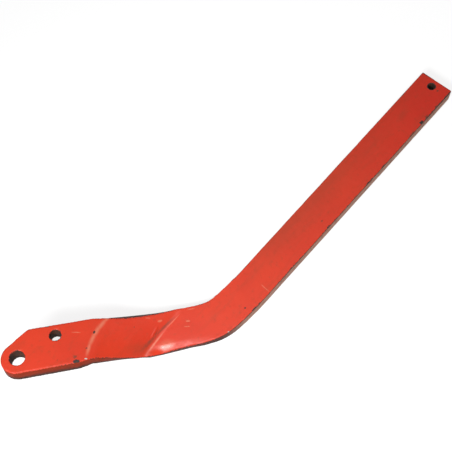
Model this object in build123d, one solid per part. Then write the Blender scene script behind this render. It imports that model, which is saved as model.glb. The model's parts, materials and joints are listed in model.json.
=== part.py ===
"""Tillage shank, forged and bent in one piece from flat steel bar.

The bar is modelled as it rests: leg and neck flat on the ground, pivot tab raised above them.
The working frame has +X along the neck towards the bend, +Y towards the inside of the bend and
+Z up. At the end the whole bar is turned so that the leg runs along +X. Sizes in millimetres.
"""
from build123d import *
import os
from math import radians, sin, tan

# Flat bar
bar_thickness = 38.0
leg_width = 76.0
leg_length = 589.0
neck_width = 80.0

# Edgewise bend from the neck into the leg: centreline radius and turn of each arc, in order
first_bend_radius = 234.0
middle_bend_radius = 104.0
last_bend_radius = 745.0
bend_arcs = [(first_bend_radius, 11.3), (middle_bend_radius, 22.4), (last_bend_radius, 6.3)]

# Hole at the free end of the leg
end_hole_diameter = 15.0
end_hole_edge_distance = 17.5
end_hole_offset = 1.4

# Pivot tab, in its own plane: the pivot hole is its origin, u runs to the neck, v across
tab_width = 86.0
nose_radius = 31.0
nose_slope = 36.0
shoulder_radius = 14.0
pivot_hole_diameter = 29.0
shear_hole_diameter = 22.5
shear_hole_u = 73.6
shear_hole_v = 32.8

# Where the tab's upper plane sits, and the turns that tip it away from the neck
tab_offset_x = -306.5
tab_offset_y = -34.0
tab_rise = 121.1
tab_heading = 5.2
tab_pitch = 18.3
tab_roll = -10.3

# First crease, across the tab: distance from the pivot hole at each edge, and its rounding
first_crease_upper = 168.9
first_crease_lower = 128.7
first_crease_rounding = 20.0

# Second crease, across the neck: distance before the bend at each edge, and its rounding
second_crease_upper = 8.0
second_crease_lower = 100.0
second_crease_rounding = 7.0

# The lower corner is spread at the second crease, the upper edge is drawn in between the creases
corner_spread = 10.5
waist = 6.5

# A facet is hammered along the lower edge of the neck: its full width, and the share of the way
# to the bend to its deepest
facet_width = 27.0
facet_share = 0.35

# Rows of worked corners, in millimetres: upper face's upper corner drawn in, its lower corner set
# in, its lower corner hammered down, width of the hammered facet, far face's upper corner set in
# and lower corner set in
tab_end = (0.0, 0.0, 0.0, facet_width, 0.0, 0.0)
fall_start = (6.3, 4.5, 0.0, facet_width, -3.0, -2.5)
fall_end = (1.3, 0.0, 0.0, facet_width, 24.0, -18.0)
neck_start = (0.0, 0.0, 1.0, facet_width, 4.0, 4.0)
facet_middle = (0.0, -2.5, 6.0, 19.0, 3.0, 2.0)
bend_start = (0.0, 0.0, 3.5, 11.0, 2.0, 1.0)
bend_middle = (0.0, 0.0, 1.5, 10.0, 1.0, 0.5)
bend_end = (0.0, 0.0, 0.0, 8.0, 0.0, 0.0)

crease_steps = 6
waist_steps = 12

tab_place = (
    Pos(tab_offset_x, tab_offset_y, bar_thickness + tab_rise)
    * Rot(0, 0, tab_heading)
    * Rot(0, tab_pitch, 0)
    * Rot(tab_roll, 0, 0)
)
tab_upper_edge = tab_width - nose_radius


def tab_point(u, v):
    """A point of the tab's upper plane in the working frame."""
    return (tab_place * Pos(u, v, 0)).position


def tab_direction(x, y, z):
    """A direction of the tab's frame in the working frame."""
    return (tab_place * Pos(x, y, z)).position - tab_place.position


def bar_cut(upper, lower, way, worked):
    """Cross-section of the bar through two points of its upper face, where it runs along way."""
    drawn, set_in, drop, facet, upper_in, lower_in = worked
    across = (upper - lower).normalized()
    normal = way.cross(across).normalized()
    depth = normal * bar_thickness
    return Wire.make_polygon(
        [
            upper - across * drawn,
            lower + across * facet,
            lower + across * set_in - normal * drop,
            lower + across * lower_in - depth,
            upper - across * upper_in - depth,
        ]
    )


def between(first, second, share):
    """Numbers at a share of the way from one row to the next."""
    return [start + (end - start) * share for start, end in zip(first, second)]


def rounded_corner(before, corner, after, share):
    """Point and direction on the curve that rounds the corner of two runs."""
    first = corner - before
    second = after - corner
    point = before + first * (2 * share) + (second - first) * (share * share)
    direction = (first * (1 - share) + second * share).normalized()
    return point, direction


def toward(start, end, distance):
    """The point at a distance from start on the way to end."""
    return start + (end - start).normalized() * distance


def make_tab():
    """Flat tab with its rounded nose and sloping shoulder, up to the first crease."""
    slope_start = Vector(nose_radius, 0, 0).rotate(Axis.Z, 90 + nose_slope)
    corner_u = slope_start.X + (tab_upper_edge - slope_start.Y) / tan(radians(nose_slope))
    crease_top = (first_crease_upper - first_crease_rounding, tab_upper_edge)
    crease_bottom = (first_crease_lower - first_crease_rounding, -nose_radius)
    nose = ThreePointArc((0, -nose_radius), (-nose_radius, 0), slope_start)
    shoulder = FilletPolyline(
        slope_start, (corner_u, tab_upper_edge), crease_top, radius=shoulder_radius
    )
    back = Polyline(crease_top, crease_bottom, (0, -nose_radius))
    outline = make_face([nose, shoulder, back])
    blank = extrude(outline, amount=-bar_thickness)
    through = 2 * bar_thickness
    pivot = Cylinder(pivot_hole_diameter / 2, through)
    shear = Pos(shear_hole_u, shear_hole_v) * Cylinder(shear_hole_diameter / 2, through)
    middle = Pos(0, 0, -bar_thickness / 2)
    return tab_place * (blank - middle * pivot - middle * shear)


def bend_stations():
    """Centreline point, heading and half width at the ends and the middle of each bend arc."""
    bend_length = sum(radius * radians(turn) for radius, turn in bend_arcs)
    point = Vector(0, 0)
    heading = 0.0
    travelled = 0.0
    stations = [(point, heading, neck_width / 2)]
    for radius, turn in bend_arcs:
        half_turn = turn / 2
        chord = 2 * radius * sin(radians(half_turn) / 2)
        for _ in range(2):
            point = point + Vector(chord, 0).rotate(Axis.Z, heading + half_turn / 2)
            heading += half_turn
            travelled += radius * radians(half_turn)
            width = neck_width + (leg_width - neck_width) * travelled / bend_length
            stations.append((point, heading, width / 2))
    return stations


def edge_point(station, side):
    """The point of a station on the inner (+1) or outer (-1) edge of the bar."""
    point, heading, half_width = station
    return point + Vector(0, side * half_width).rotate(Axis.Z, heading)


def make_leg():
    """Edgewise bend after its first arc, and straight leg with the hole at its end."""
    stations = bend_stations()[2:]
    last_point, leg_heading, half_width = stations[-1]
    tip = last_point + Vector(leg_length, 0).rotate(Axis.Z, leg_heading)
    tip_station = (tip, leg_heading, half_width)
    outline = []
    for side in (1, -1):
        edge = [edge_point(station, side) for station in stations]
        for first in range(0, len(edge) - 1, 2):
            outline.append(ThreePointArc(edge[first], edge[first + 1], edge[first + 2]))
        outline.append(Line(edge[-1], edge_point(tip_station, side)))
    outline.append(Line(edge_point(tip_station, 1), edge_point(tip_station, -1)))
    outline.append(Line(edge_point(stations[0], 1), edge_point(stations[0], -1)))
    blank = extrude(make_face(outline), amount=bar_thickness)
    hole_centre = tip + Vector(-end_hole_edge_distance, end_hole_offset).rotate(Axis.Z, leg_heading)
    hole = Pos(hole_centre.X, hole_centre.Y, bar_thickness / 2) * Cylinder(
        end_hole_diameter / 2, 2 * bar_thickness
    )
    return blank - hole


def make_twist():
    """The forged stretch between the two creases, where the bar drops and twists.

    It runs on through the first arc of the bend, where the forging fades out.
    """
    top = Vector(0, 0, bar_thickness)
    half_neck = neck_width / 2
    upper_one = tab_point(first_crease_upper, tab_upper_edge)
    lower_one = tab_point(first_crease_lower, -nose_radius)
    upper_two = top + Vector(-second_crease_upper, half_neck)
    lower_two = top + Vector(-second_crease_lower, -half_neck - corner_spread)
    back = tab_direction(-first_crease_rounding, 0, 0)
    first_upper = (upper_one + back, upper_one, toward(upper_one, upper_two, first_crease_rounding))
    first_lower = (lower_one + back, lower_one, toward(lower_one, lower_two, first_crease_rounding))
    second_upper = (
        toward(upper_two, upper_one, second_crease_rounding),
        upper_two,
        toward(upper_two, top + Vector(0, half_neck), second_crease_rounding),
    )
    second_lower = (
        toward(lower_two, lower_one, second_crease_rounding),
        lower_two,
        toward(lower_two, top + Vector(0, -half_neck), second_crease_rounding),
    )
    cuts = []
    for step in range(crease_steps):
        share = step / (crease_steps - 1)
        upper, upper_way = rounded_corner(*first_upper, share)
        lower, lower_way = rounded_corner(*first_lower, share)
        cuts.append(bar_cut(upper, lower, upper_way + lower_way, between(tab_end, fall_start, share)))
    for step in range(1, waist_steps):
        share = step / waist_steps
        bulge = 4 * share * (1 - share)
        upper = first_upper[2] + (second_upper[0] - first_upper[2]) * share
        lower = first_lower[2] + (second_lower[0] - first_lower[2]) * share
        worked = between(fall_start, fall_end, share)
        worked[0] += waist * bulge
        cuts.append(bar_cut(upper, lower, upper_way + lower_way, worked))
    for step in range(crease_steps):
        share = step / (crease_steps - 1)
        upper, upper_way = rounded_corner(*second_upper, share)
        lower, lower_way = rounded_corner(*second_lower, share)
        cuts.append(bar_cut(upper, lower, upper_way + lower_way, between(fall_end, neck_start, share)))
    upper = toward(upper, top + Vector(0, half_neck), facet_share * second_crease_upper)
    lower += (top + Vector(0, -half_neck) - lower) * facet_share
    cuts.append(bar_cut(upper, lower, Vector(1, 0, 0), facet_middle))
    for station, worked in zip(bend_stations(), (bend_start, bend_middle, bend_end)):
        upper = top + edge_point(station, 1)
        lower = top + edge_point(station, -1)
        cuts.append(bar_cut(upper, lower, Vector(1, 0, 0).rotate(Axis.Z, station[1]), worked))
    return Solid.make_loft(cuts, ruled=True)


def main():
    os.makedirs("parts", exist_ok=True)
    twist = make_twist()
    shank = make_tab() + twist + make_leg()
    turn = sum(turn for _, turn in bend_arcs)
    shank = Rot(0, 0, -turn) * shank
    box = shank.bounding_box()
    middle = box.center()
    shank = Pos(-middle.X, -middle.Y, -box.min.Z) * shank
    export_step(shank, "parts/shank.step")


main()
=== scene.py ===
import json
from math import radians

import bmesh
import bpy
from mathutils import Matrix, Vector, kdtree, noise


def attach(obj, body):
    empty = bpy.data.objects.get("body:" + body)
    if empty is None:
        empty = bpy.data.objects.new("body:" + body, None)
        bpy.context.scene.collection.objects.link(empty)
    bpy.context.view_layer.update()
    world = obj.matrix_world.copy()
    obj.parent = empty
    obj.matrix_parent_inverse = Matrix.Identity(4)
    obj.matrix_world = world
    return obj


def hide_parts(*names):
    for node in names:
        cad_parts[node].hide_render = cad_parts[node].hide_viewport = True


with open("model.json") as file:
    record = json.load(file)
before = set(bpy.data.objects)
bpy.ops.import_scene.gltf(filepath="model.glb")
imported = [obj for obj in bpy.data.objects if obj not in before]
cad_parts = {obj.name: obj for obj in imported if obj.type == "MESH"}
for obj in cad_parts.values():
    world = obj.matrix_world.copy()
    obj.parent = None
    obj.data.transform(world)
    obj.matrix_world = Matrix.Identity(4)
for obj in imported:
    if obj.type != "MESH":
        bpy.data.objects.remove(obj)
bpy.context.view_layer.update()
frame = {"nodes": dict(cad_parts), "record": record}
shank = frame["nodes"]["shank"]

# Each hole of the bar: its middle, its axis and its radius in metres
hole_mounts = [mount for mount in frame["record"]["mounts"] if mount["kind"] == "bore"]
holes = [
    (Vector(mount["pos_m"]), Vector(mount["axis"]).normalized(), mount["dims"]["r_mm"] / 1000)
    for mount in hole_mounts
]
half_thickness = hole_mounts[0]["dims"]["length_mm"] / 1000 / 2

# Skin of the bar: how close corners of the solid's faces are welded, the size of the skin's own
# facets, how often they are smoothed, which edges of the solid are real corners, and roughly how
# far apart points are taken along them
weld_distance = 1e-5
skin_facet = 0.0019
rounding_passes = 2
corner_angle = radians(45)
sliver_angle = radians(118)
corner_step = 0.0015

# The Z part of the skin's normal tells its sides apart. A narrow side has less than wall_slope,
# the underside points down by more than underside_slope, the facet up by more than facet_slope.
wall_slope = 0.50
underside_slope = 0.6
facet_slope = 0.8

# Unevenness from the hammer, the rolling mill and years of knocks
hammer_depth = 0.0005
hammer_span = 0.045
scale_depth = 0.00018
scale_span = 0.009
nick_depth = 0.0013
nick_span = 0.012
nick_detail = 0.35
nick_detail_span = nick_span / 4
nick_threshold = 0.18
nick_reach = 0.0045

# Fold left by the forging beside the second crease: its two ends, its height and half width
fold_ends = (Vector((-0.2630, -0.0185, 0.0460)), Vector((-0.2905, -0.0268, 0.0468)))
fold_height = 0.0010
fold_half_width = 0.0030

# The rims of the holes stay crisp: how far from one a point is set right, and how far it may be
# pulled onto the rim itself. A hole's wall counts as wall up to wall_margin past its radius, and
# to rim_margin short of its rims.
rim_reach = 0.0025
rim_pull = 0.00095
wall_margin = 0.0007
rim_margin = 0.0008

# Hammered facet, whose border with the flat face is softened: its ends along X, the Y where the
# softening stops, the number of passes, and the width of the corner that is left as it is
facet_ends = (-0.312, -0.120)
facet_upper = -0.040
facet_passes = 40
facet_rim = 0.0030

# Floor: half its width, the gap below the bar, its grey for the light on it, and the glow that
# makes it white to the eye. Last, the strength of the pale surrounding.
floor_half_width = 6.0
floor_gap = 0.0005
floor_grey = (0.35, 0.35, 0.35, 1.0)
floor_glow = 0.80
surrounding_light = 0.22

bare_steel = (0.62, 0.60, 0.56, 1.0)
dark_steel = (0.050, 0.034, 0.028, 1.0)
# rust, also the colour of the painted shade in the second crease
rust_and_shade_brown = (0.165, 0.058, 0.030, 1.0)
# pale grey-brown of the leg walls: dust, partly painted light
dust_and_light_grey = (0.850, 0.480, 0.360, 1.0)
# dark red-brown of the tab walls: dirt, partly painted shade
dirt_and_shade_brown = (0.360, 0.038, 0.010, 1.0)
paint_red = (0.800, 0.045, 0.010, 1.0)
paint_deep = (0.750, 0.040, 0.010, 1.0)
paint_dull = (0.450, 0.055, 0.016, 1.0)
# crimson of the free end: partly a paint tone, partly painted shade
crimson_tone_and_shade = (0.760, 0.026, 0.012, 1.0)
# pale rubbed paint, also used for the painted highlights on the crease ridges and the facet
pale_scuff_and_highlight = (0.830, 0.230, 0.130, 1.0)


def put_in_scene(name, data):
    made = bpy.data.objects.new(name, data)
    bpy.context.scene.collection.objects.link(made)
    return made


def set_camera():
    """The photograph's own viewing angle, high above the neck and looking down."""
    data = bpy.data.cameras.new("camera")
    data.sensor_width = 36.0
    data.lens = 50.73
    data.clip_start = 0.01
    camera = put_in_scene("camera", data)
    camera.location = (-0.17868, -0.4021, 1.30738)
    camera.rotation_euler = (radians(17.691), radians(8.8664), radians(-46.877))
    bpy.context.scene.camera = camera


def add_lamp(name, place, target, watts, width, depth):
    """An oblong soft lamp at a place, pointed at a target."""
    data = bpy.data.lights.new(name, "AREA")
    data.shape = "RECTANGLE"
    data.size = width
    data.size_y = depth
    data.energy = watts
    lamp = put_in_scene(name, data)
    lamp.location = place
    lamp.rotation_euler = (Vector(target) - Vector(place)).to_track_quat("-Z", "Y").to_euler()


def set_light():
    """A large soft lamp over the neck, weaker ones that the paint mirrors, and a pale surrounding."""
    add_lamp("key", (-0.78, -0.37, 1.30), (0.0, 0.0, 0.0), watts=17.4, width=0.55, depth=0.35)
    add_lamp("crease_light", (0.60, -0.02, 1.30), (-0.34, 0.05, 0.10), watts=0.6, width=0.13, depth=0.13)
    add_lamp("fill", (0.05, 0.36, 1.35), (-0.15, 0.0, 0.0), watts=1.0, width=0.80, depth=0.40)

    world = bpy.data.worlds.new("surrounding")
    bpy.context.scene.world = world
    world.use_nodes = True
    background = world.node_tree.nodes["Background"]
    background.inputs["Color"].default_value = (1.0, 1.0, 1.0, 1.0)
    background.inputs["Strength"].default_value = surrounding_light


class Finish:
    """A material, and short calls that build its nodes."""

    def __init__(self, name):
        self.material = bpy.data.materials.new(name)
        self.material.use_nodes = True
        self.tree = self.material.node_tree
        self.tree.nodes.clear()
        self.output = self.tree.nodes.new("ShaderNodeOutputMaterial")

    def feed(self, socket, value):
        """Link a value from another node to a socket, or set a plain one on it."""
        if isinstance(value, bpy.types.NodeSocket):
            self.tree.links.new(value, socket)
        else:
            socket.default_value = value

    def node(self, kind, sockets=(), **settings):
        made = self.tree.nodes.new("ShaderNode" + kind)
        for name, value in settings.items():
            setattr(made, name, value)
        for name, value in dict(sockets).items():
            self.feed(made.inputs[name], value)
        return made

    def place(self):
        return self.node("TexCoord").outputs["Object"]

    def along(self, axis):
        """Place along one of the bar's axes."""
        return self.node("SeparateXYZ", {0: self.place()}).outputs[axis]

    def attribute(self, name):
        return self.node("Attribute", attribute_name=name).outputs["Fac"]

    def maths(self, operation, first, second):
        return self.node("Math", {0: first, 1: second}, operation=operation).outputs[0]

    def plus(self, first, second):
        return self.maths("ADD", first, second)

    def less(self, first, second):
        return self.maths("SUBTRACT", first, second)

    def both(self, first, second):
        return self.maths("MULTIPLY", first, second)

    def either(self, first, second):
        return self.maths("MAXIMUM", first, second)

    def vectors(self, operation, sockets):
        return self.node("VectorMath", sockets, operation=operation).outputs

    def step(self, value, low, high, start=0.0, end=1.0):
        """Smooth step of a value between low and high."""
        sockets = {"Value": value, "From Min": low, "From Max": high, "To Min": start, "To Max": end}
        return self.node("MapRange", sockets, interpolation_type="SMOOTHSTEP").outputs["Result"]

    def grain(self, span, detail=4.0, rough=0.55, stretch=(1, 1, 1), shift=(0, 0, 0)):
        """Cloudy noise whose features are about span metres across."""
        sockets = {"Vector": self.place(), "Scale": stretch, "Location": shift}
        mapped = self.node("Mapping", sockets).outputs["Vector"]
        sockets = {"Vector": mapped, "Scale": 1 / span, "Detail": detail, "Roughness": rough}
        return self.node("TexNoise", sockets).outputs["Fac"]

    def speckle(self):
        return self.grain(0.010, detail=5.0, rough=0.62)

    def fine(self):
        return self.grain(0.0022, detail=4.0, rough=0.7)

    def pits(self):
        return self.grain(0.0042, detail=6.0, rough=0.72)

    def blend(self, share, first, second):
        """Colour that goes from first to second as share goes from 0 to 1."""
        made = self.tree.nodes.new("ShaderNodeMix")
        made.data_type = "RGBA"
        self.feed(made.inputs[0], share)
        self.feed(made.inputs[6], first)
        self.feed(made.inputs[7], second)
        return made.outputs[2]

    def surface(self, colour, gloss, height, relief, settings=()):
        """Close the material with one shader that has a bump, and hand it back."""
        bump = self.node("Bump", {"Height": height, "Strength": relief, "Distance": 0.0006})
        sockets = {"Base Color": colour, "Roughness": gloss, "Normal": bump.outputs["Normal"]}
        sockets.update(settings)
        shader = self.node("BsdfPrincipled", sockets)
        self.feed(self.output.inputs["Surface"], shader.outputs["BSDF"])
        return self.material


# Marks on the paint: centre, half length and half width in metres, heading in degrees from +X.
# A mark along the picture's rows has the camera's own heading, and the tab has a heading of its own.
across_view = -47
along_tab = -35
along_crease = -1

chips = [
    ((-0.4117, 0.0270, 0.1303), 0.0072, 0.0036, along_tab),
    ((-0.3532, 0.0500, 0.1080), 0.0038, 0.0017, 20),
    ((-0.3828, 0.0346, 0.1192), 0.0022, 0.0015, 0),
    ((-0.4059, 0.1205, 0.1310), 0.0040, 0.0018, along_tab),
    ((-0.2940, 0.0315, 0.0799), 0.0034, 0.0016, across_view),
    ((-0.1169, -0.1262, 0.0380), 0.0020, 0.0017, 0),
    ((-0.1062, -0.1425, 0.0380), 0.0070, 0.0034, 0),
    ((0.1227, -0.1432, 0.0380), 0.0060, 0.0032, 0),
    ((0.2479, -0.1435, 0.0380), 0.0080, 0.0026, 0),
    ((0.2970, -0.1435, 0.0380), 0.0080, 0.0026, 0),
    ((0.4252, -0.1400, 0.0380), 0.0050, 0.0036, 10),
    ((0.3706, -0.0675, 0.0380), 0.0050, 0.0020, 0),
]
rust_spots = [
    ((-0.4082, 0.0360, 0.1293), 0.0060, 0.0050, along_tab),
    ((-0.4341, 0.0541, 0.1396), 0.0018, 0.0016, 0),
    ((-0.2956, 0.0086, 0.0715), 0.0020, 0.0014, across_view),
    ((0.1233, -0.1237, 0.0380), 0.0030, 0.0022, 0),
    ((0.2087, -0.1425, 0.0380), 0.0080, 0.0022, 0),
    ((0.3930, -0.1425, 0.0380), 0.0130, 0.0048, 0),
    ((0.4418, -0.1400, 0.0380), 0.0070, 0.0044, 10),
    ((0.4750, -0.1415, 0.0380), 0.0090, 0.0030, 0),
    ((0.5050, -0.1205, 0.0380), 0.0036, 0.0026, across_view),
]
bright_spots = [
    ((-0.3968, 0.0193, 0.1228), 0.0030, 0.0015, across_view),
    ((-0.1747, -0.1340, 0.0380), 0.0018, 0.0015, 0),
]
scuffs = [
    ((-0.3766, 0.0731, 0.1183), 0.0100, 0.0010, across_view),
    ((-0.2527, -0.0160, 0.0488), 0.0055, 0.0024, -30),
    ((-0.2643, 0.0031, 0.0613), 0.0060, 0.0010, across_view),
    ((-0.1924, -0.0441, 0.0380), 0.0090, 0.0010, -38),
    ((-0.2142, -0.0566, 0.0380), 0.0046, 0.0022, across_view),
    ((-0.2235, -0.0627, 0.0380), 0.0070, 0.0010, across_view),
    ((-0.0595, -0.1292, 0.0380), 0.0130, 0.0010, -90),
]
# Painted shade that lies in the second crease and below the fold
crease_shade_marks = [
    ((-0.2560, -0.0290, 0.0410), 0.0400, 0.0040, along_crease),
    ((-0.2960, -0.0290, 0.0440), 0.0360, 0.0048, along_crease),
    ((-0.2760, -0.0262, 0.0440), 0.0150, 0.0016, 15),
]
# Duller paint on the low end of the twist and near the free end of the leg
dull_patches = [
    ((-0.3200, -0.0260, 0.0500), 0.0420, 0.0200, across_view),
    ((0.4150, -0.0980, 0.0380), 0.0320, 0.0140, 10),
]
# Paint rubbed pale along the ridges of the first crease and of the second, which is also a painted
# highlight there
rubbed_ridge_highlight_marks = [
    ((-0.3167, 0.0541, 0.0937), 0.0220, 0.0050, 2),
    ((-0.3338, 0.0520, 0.1006), 0.0260, 0.0062, 14),
    ((-0.3493, 0.0480, 0.1065), 0.0280, 0.0066, 22),
    ((-0.3640, 0.0415, 0.1120), 0.0280, 0.0060, 28),
    ((-0.3800, 0.0320, 0.1180), 0.0240, 0.0050, 36),
    ((-0.2360, -0.0335, 0.0380), 0.0300, 0.0016, along_crease),
    ((-0.2900, -0.0365, 0.0380), 0.0360, 0.0030, 5),
]
# Hammered facet polished by wear, with a painted highlight where it catches the light, and its matt lower
# end
polish_and_highlight_patches = [
    ((-0.2790, -0.0570, 0.0365), 0.0240, 0.0150, -30),
]
matt_end = [
    ((-0.3050, -0.0520, 0.0360), 0.0200, 0.0110, across_view),
]


def spots(finish, marks, ragged, core=0.8):
    """Share of the surface that lies inside any of the marks, with ragged outlines."""
    wobble = finish.node("TexNoise", {"Vector": finish.place(), "Scale": 280.0, "Detail": 4.0})
    offset = finish.vectors("SUBTRACT", {0: wobble.outputs["Color"], 1: (0.5, 0.5, 0.5)})
    offset = finish.vectors("SCALE", {0: offset[0], "Scale": ragged})
    moved = finish.vectors("ADD", {0: finish.place(), 1: offset[0]})
    total = 0.0
    for centre, length, width, heading in marks:
        sockets = {
            "Vector": moved[0],
            "Location": centre,
            "Rotation": (0, 0, radians(heading)),
            "Scale": (length, width, max(length, width)),
        }
        local = finish.node("Mapping", sockets, vector_type="TEXTURE").outputs["Vector"]
        reach = finish.vectors("LENGTH", {0: local})["Value"]
        total = finish.either(finish.step(reach, 1.0, core), total)
    return total


def rubbed_corners(finish):
    """Share of the surface where the corners are rubbed through, most of all at the free end."""
    nibble = finish.step(finish.grain(0.0035, detail=5.0, rough=0.7), 0.35, 0.75)
    patch = finish.step(finish.grain(0.045, detail=3.0, rough=0.6), 0.38, 0.72, 0.0007, 0.0036)
    free_end = finish.step(finish.along("X"), 0.40, 0.48, 0.0, 0.0009)
    rubbed = finish.plus(finish.both(nibble, patch), free_end)
    past = finish.less(finish.attribute("corner_distance"), rubbed)
    return finish.step(past, 0.0007, 0.0)


def mottled_red(finish, speckle, fine, streak):
    """The paint before its marks: cloudy, streaked, and more crimson and darker towards the free end,
    partly as a paint tone and partly as painted shade.
    """
    cloud = finish.grain(0.11, detail=3.0, rough=0.5)
    # towards the free end: partly faded paint, partly painted shade for the weaker light and sheen there
    far_end_tone_and_shade = finish.step(finish.along("X"), 0.20, 0.52, 0.0, 0.75)
    colour = finish.blend(finish.step(cloud, 0.38, 0.68), paint_red, paint_deep)
    colour = finish.blend(far_end_tone_and_shade, colour, crimson_tone_and_shade)
    colour = finish.blend(finish.both(finish.step(streak, 0.50, 0.74), 0.24), colour, paint_dull)
    colour = finish.blend(finish.both(finish.step(speckle, 0.52, 0.78), 0.42), colour, paint_dull)
    return finish.blend(finish.both(finish.step(fine, 0.58, 0.82), 0.24), colour, pale_scuff_and_highlight)


def dull_film(finish, streak):
    """Share of a dull film, which lies on the inner half of the lower leg and on a few patches."""
    inner_half = finish.step(finish.along("Y"), -0.125, -0.075)
    x = finish.along("X")
    lower_leg = finish.both(finish.step(x, -0.08, 0.06), finish.step(x, 0.32, 0.16, 0.35, 1.0))
    film = finish.both(finish.both(inner_half, lower_leg), finish.step(streak, 0.25, 0.60, 0.25, 0.50))
    return finish.either(film, finish.both(spots(finish, dull_patches, 0.004, core=0.0), 0.40))


def red_paint():
    """Worn red paint on the broad faces of the bar."""
    finish = Finish("worn_red_paint")
    speckle = finish.speckle()
    fine = finish.fine()
    streak = finish.grain(0.020, detail=5.0, rough=0.65, stretch=(0.22, 1.0, 1.0), shift=(0.4, 0.1, 0.0))

    # pale crease ridges: partly rubbed paint, partly a painted highlight
    rubbed_ridge_highlight = finish.both(spots(finish, rubbed_ridge_highlight_marks, 0.002, core=0.0), 0.80)
    # pale facet patch: a painted highlight; its lower roughness is the polish
    polish_and_highlight = spots(finish, polish_and_highlight_patches, 0.004, core=0.2)
    matt = finish.both(spots(finish, matt_end, 0.004, core=0.2), 0.45)
    # painted shade in the second crease and below the fold
    crease_shade = finish.both(spots(finish, crease_shade_marks, 0.003, core=0.1), finish.step(speckle, 0.2, 0.6, 0.30, 0.65))
    below = finish.both(finish.attribute("underside"), finish.step(speckle, 0.42, 0.62, 0.15, 0.8))
    rust = finish.both(spots(finish, rust_spots, 0.0060, core=0.1), finish.step(fine, 0.25, 0.6, 0.5, 1.0))
    rubbed = rubbed_corners(finish)
    chipped = spots(finish, chips, 0.0050)
    scuffed = finish.both(spots(finish, scuffs, 0.0016), finish.step(fine, 0.30, 0.55, 0.2, 0.7))
    bright = spots(finish, bright_spots, 0.0016)

    colour = mottled_red(finish, speckle, fine, streak)
    layers = [
        (dull_film(finish, streak), paint_dull),
        # painted highlight on the crease ridges, also rubbed paint
        (rubbed_ridge_highlight, pale_scuff_and_highlight),
        # painted highlight on the hammered facet
        (finish.both(polish_and_highlight, 0.42), pale_scuff_and_highlight),
        # painted shade in the second crease
        (crease_shade, rust_and_shade_brown),
        (below, rust_and_shade_brown),
        (rust, rust_and_shade_brown),
        (rubbed, dark_steel),
        (chipped, dark_steel),
        (scuffed, pale_scuff_and_highlight),
        (bright, bare_steel),
    ]
    for share, layer in layers:
        colour = finish.blend(share, colour, layer)

    # chips, rubbed corners, rust and the painted crease shade
    wear_and_crease_shade = finish.either(finish.either(chipped, rubbed), finish.either(rust, crease_shade))
    gloss = finish.step(speckle, 0.30, 0.75, 0.44, 0.54)
    gloss = finish.plus(gloss, finish.both(wear_and_crease_shade, 0.25))
    gloss = finish.less(gloss, finish.both(polish_and_highlight, 0.20))
    gloss = finish.plus(gloss, matt)

    orange_peel = finish.grain(0.0016, detail=2.0, rough=0.5)
    height = finish.plus(finish.both(orange_peel, 0.06), finish.both(finish.grain(0.014), 0.55))
    height = finish.plus(height, finish.both(finish.both(finish.pits(), wear_and_crease_shade), 1.2))
    height = finish.less(height, finish.both(chipped, 0.5))
    return finish.surface(colour, gloss, height, relief=0.35)


def worn_wall():
    """Narrow faces and hole walls: thin dull paint, rust and scale over the forged steel, darker towards
    the bottom. The tab's walls are dark partly as painted shade, the leg's walls pale grey-brown partly as
    painted light.
    """
    finish = Finish("worn_dark_wall")
    speckle = finish.speckle()
    layers = finish.grain(0.030, detail=5.0, rough=0.65, stretch=(0.4, 1.0, 2.5))
    depth = finish.attribute("depth")
    edge = finish.attribute("corner_distance")
    x = finish.along("X")

    lower_dark = finish.step(finish.plus(depth, finish.both(speckle, 0.5)), 0.60, 1.15)
    # tab walls: dark red-brown, partly dirt and partly painted shade
    tab_wall_dirt_and_shade = finish.blend(lower_dark, dirt_and_shade_brown, dark_steel)
    on_twist = finish.both(finish.step(x, -0.385, -0.350), 0.75)
    tab_wall_dirt_and_shade = finish.blend(on_twist, tab_wall_dirt_and_shade, dark_steel)
    # leg walls: pale grey-brown, partly dust and partly painted light
    leg_wall_dust_and_light = finish.blend(finish.step(depth, 0.18, 0.06), dust_and_light_grey, rust_and_shade_brown)
    on_leg = finish.step(x, -0.20, -0.12)
    colour = finish.blend(on_leg, tab_wall_dirt_and_shade, leg_wall_dust_and_light)
    colour = finish.blend(finish.step(speckle, 0.50, 0.75, 0.0, 0.6), colour, rust_and_shade_brown)

    inner_wall = finish.both(on_leg, finish.step(finish.along("Y"), -0.12, -0.09))
    paint_share = finish.either(finish.both(inner_wall, 0.45), finish.step(layers, 0.55, 0.75, 0.0, 0.5))
    colour = finish.blend(paint_share, colour, paint_dull)
    near_corner = finish.both(finish.step(edge, 0.0030, 0.0008), finish.step(speckle, 0.42, 0.62, 0.1, 0.9))
    colour = finish.blend(near_corner, colour, dark_steel)
    hole_colour = finish.blend(finish.step(speckle, 0.35, 0.70), dark_steel, rust_and_shade_brown)
    colour = finish.blend(finish.attribute("bore"), colour, hole_colour)

    gloss = finish.step(speckle, 0.30, 0.75, 0.65, 0.80)
    height = finish.plus(finish.pits(), finish.both(layers, 0.8))
    return finish.surface(colour, gloss, height, relief=0.5, settings={"Specular IOR Level": 0.12})


def even_skin(merged):
    """Even fine facets over the merged bar, from a remesh that is applied."""
    data = bpy.data.meshes.new("bar_blank")
    merged.to_mesh(data)
    blank = put_in_scene("bar_blank", data)
    remesh = blank.modifiers.new("even_skin", "REMESH")
    remesh.mode = "VOXEL"
    remesh.voxel_size = skin_facet
    remesh.use_smooth_shade = True
    graph = bpy.context.evaluated_depsgraph_get()
    skin = bpy.data.meshes.new_from_object(blank.evaluated_get(graph))
    bpy.data.objects.remove(blank)
    bpy.data.meshes.remove(data)
    return skin


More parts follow.
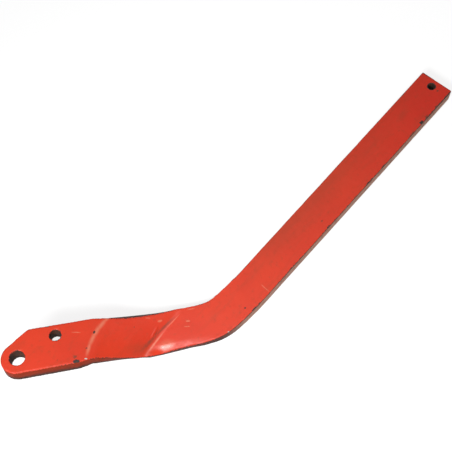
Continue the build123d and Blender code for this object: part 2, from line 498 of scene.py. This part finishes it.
def corner_tree(merged, side):
    """Points along the sharp corners round the upper (+1) or lower (-1) face of the bar."""
    points = []
    for edge in merged.edges:
        if len(edge.link_faces) != 2 or not corner_angle < edge.calc_face_angle() < sliver_angle:
            continue
        if max(side * face.normal.z for face in edge.link_faces) < wall_slope:
            continue
        first, last = (vert.co for vert in edge.verts)
        steps = max(1, int((last - first).length / corner_step))
        points += [first.lerp(last, step / steps) for step in range(steps + 1)]
    tree = kdtree.KDTree(len(points))
    for index, point in enumerate(points):
        tree.insert(point, index)
    tree.balance()
    return tree


def seen_from_holes(point):
    """For each hole: its axis, how far along it the point is, the way out to it, and the radius."""
    for middle, axis, radius in holes:
        offset = point - middle
        along = offset.dot(axis)
        yield axis, along, offset - axis * along, radius


def on_hole_wall(point):
    """1 on the wall of a hole and 0 elsewhere."""
    for _, along, away, radius in seen_from_holes(point):
        if away.length < radius + wall_margin and abs(along) < half_thickness - rim_margin:
            return 1.0
    return 0.0


def crisp_rim(point):
    """The point, set on the hole's own wall, face or rim where it lies close to a rim."""
    for axis, along, away, radius in seen_from_holes(point):
        past_wall = away.length - radius
        below_face = half_thickness - abs(along)
        if not -rim_reach < past_wall < rim_reach or not -rim_reach < below_face < rim_reach:
            continue
        to_wall = away.normalized() * past_wall
        if past_wall < below_face:
            return point - to_wall
        to_face = axis * (below_face if along > 0 else -below_face)
        return point + to_face - (to_wall if past_wall < rim_pull else Vector())
    return point


def on_facet(vert):
    """Whether a vertex of the upper face lies on the hammered facet or beside its border."""
    start, end = facet_ends
    return start < vert.co.x < end and vert.co.y < facet_upper and vert.normal.z > facet_slope


def fold_rise(point):
    """Height of the forging fold at a point, fading out to its ends and sides."""
    first, last = fold_ends
    way = last - first
    share = (point - first).dot(way) / way.length_squared
    if not 0.0 < share < 1.0:
        return 0.0
    away = (point - first.lerp(last, share)).length / fold_half_width
    return fold_height * max(0.0, 1 - away * away) * min(1.0, 6 * share * (1 - share))


def waves(point, span):
    """Uneven waves from 0 to 1 that are about span metres long."""
    return 0.5 + 0.5 * noise.noise(point / span)


def worn_depth(point, corner_distance):
    """How deep hammering, scale and knocks on a corner have cut below the even skin."""
    depth = hammer_depth * waves(point, hammer_span)
    depth += scale_depth * waves(point, scale_span)
    if corner_distance < nick_reach:
        rough = noise.noise(point / nick_span) + nick_detail * noise.noise(point / nick_detail_span)
        depth += nick_depth * max(0.0, rough - nick_threshold) * (1 - corner_distance / nick_reach)
    return depth


def smooth(bm, verts, passes, sideways=True):
    """Even out the vertices, in every direction or up and down only."""
    for _ in range(passes):
        bmesh.ops.smooth_vert(
            bm, verts=verts, factor=0.5, use_axis_x=sideways, use_axis_y=sideways, use_axis_z=True
        )


def wear_down(merged, skin):
    """Round, dent and nick the skin, and note on it what the paint needs to know."""
    upper_corners = corner_tree(merged, 1)
    lower_corners = corner_tree(merged, -1)
    bm = bmesh.new()
    bm.from_mesh(skin)
    smooth(bm, bm.verts, rounding_passes)
    for vert in bm.verts:
        vert.co = crisp_rim(vert.co)
    bm.normal_update()
    facet = [vert for vert in bm.verts if on_facet(vert) and upper_corners.find(vert.co)[2] > facet_rim]
    smooth(bm, facet, facet_passes, sideways=False)
    bm.normal_update()

    edge_layer = bm.verts.layers.float.new("corner_distance")
    depth_layer = bm.verts.layers.float.new("depth")
    wall_layer = bm.verts.layers.float.new("wall")
    hole_layer = bm.verts.layers.float.new("bore")
    under_layer = bm.verts.layers.float.new("underside")
    moves = []
    for vert in bm.verts:
        below_upper = upper_corners.find(vert.co)[2]
        above_lower = lower_corners.find(vert.co)[2]
        corner_distance = min(below_upper, above_lower)
        vert[edge_layer] = corner_distance
        vert[depth_layer] = below_upper / (below_upper + above_lower)
        vert[wall_layer] = 1.0 if abs(vert.normal.z) < wall_slope else 0.0
        vert[hole_layer] = on_hole_wall(vert.co)
        vert[under_layer] = 1.0 if vert.normal.z < -underside_slope else 0.0
        depth = worn_depth(vert.co, corner_distance) * (1.0 - vert[hole_layer])
        moves.append(vert.normal * (fold_rise(vert.co) - depth))
    for vert, move in zip(bm.verts, moves):
        vert.co += move
    for face in bm.faces:
        share = sum(max(vert[wall_layer], vert[hole_layer]) for vert in face.verts) / len(face.verts)
        face.material_index = 1 if share > 0.5 else 0
    bm.to_mesh(skin)
    bm.free()
    return skin


def make_shank():
    """The worn bar, which takes the place of the plain solid."""
    merged = bmesh.new()
    merged.from_mesh(shank.data)
    bmesh.ops.remove_doubles(merged, verts=merged.verts, dist=weld_distance)
    merged.normal_update()
    skin = wear_down(merged, even_skin(merged))
    merged.free()
    skin.name = "forged_shank"
    skin.shade_smooth()
    skin.materials.append(red_paint())
    skin.materials.append(worn_wall())
    piece = put_in_scene("forged_shank", skin)
    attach(piece, "root")
    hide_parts("shank")


def pale_floor():
    """Matt grey that is seen as white, so that only the shank's shadow shows on it."""
    finish = Finish("pale_floor")
    matt = finish.node("BsdfDiffuse", {"Color": floor_grey})
    path = finish.node("LightPath").outputs
    mirrored = finish.either(path["Is Glossy Ray"], path["Is Transmission Ray"])
    seen = finish.either(path["Is Camera Ray"], mirrored)
    glow = finish.node("Emission", {"Strength": finish.both(seen, floor_glow)})
    ground = finish.node("AddShader", {0: matt.outputs[0], 1: glow.outputs[0]})
    finish.feed(finish.output.inputs["Surface"], ground.outputs[0])
    return finish.material


def make_floor():
    """White ground that takes the shank's shadow."""
    data = bpy.data.meshes.new("floor")
    bm = bmesh.new()
    bmesh.ops.create_grid(bm, x_segments=1, y_segments=1, size=floor_half_width)
    bm.to_mesh(data)
    bm.free()
    data.materials.append(pale_floor())
    floor = put_in_scene("floor", data)
    floor.location.z = -floor_gap


set_camera()
set_light()
make_floor()
make_shank()
bpy.context.scene.view_settings.view_transform = "Standard"
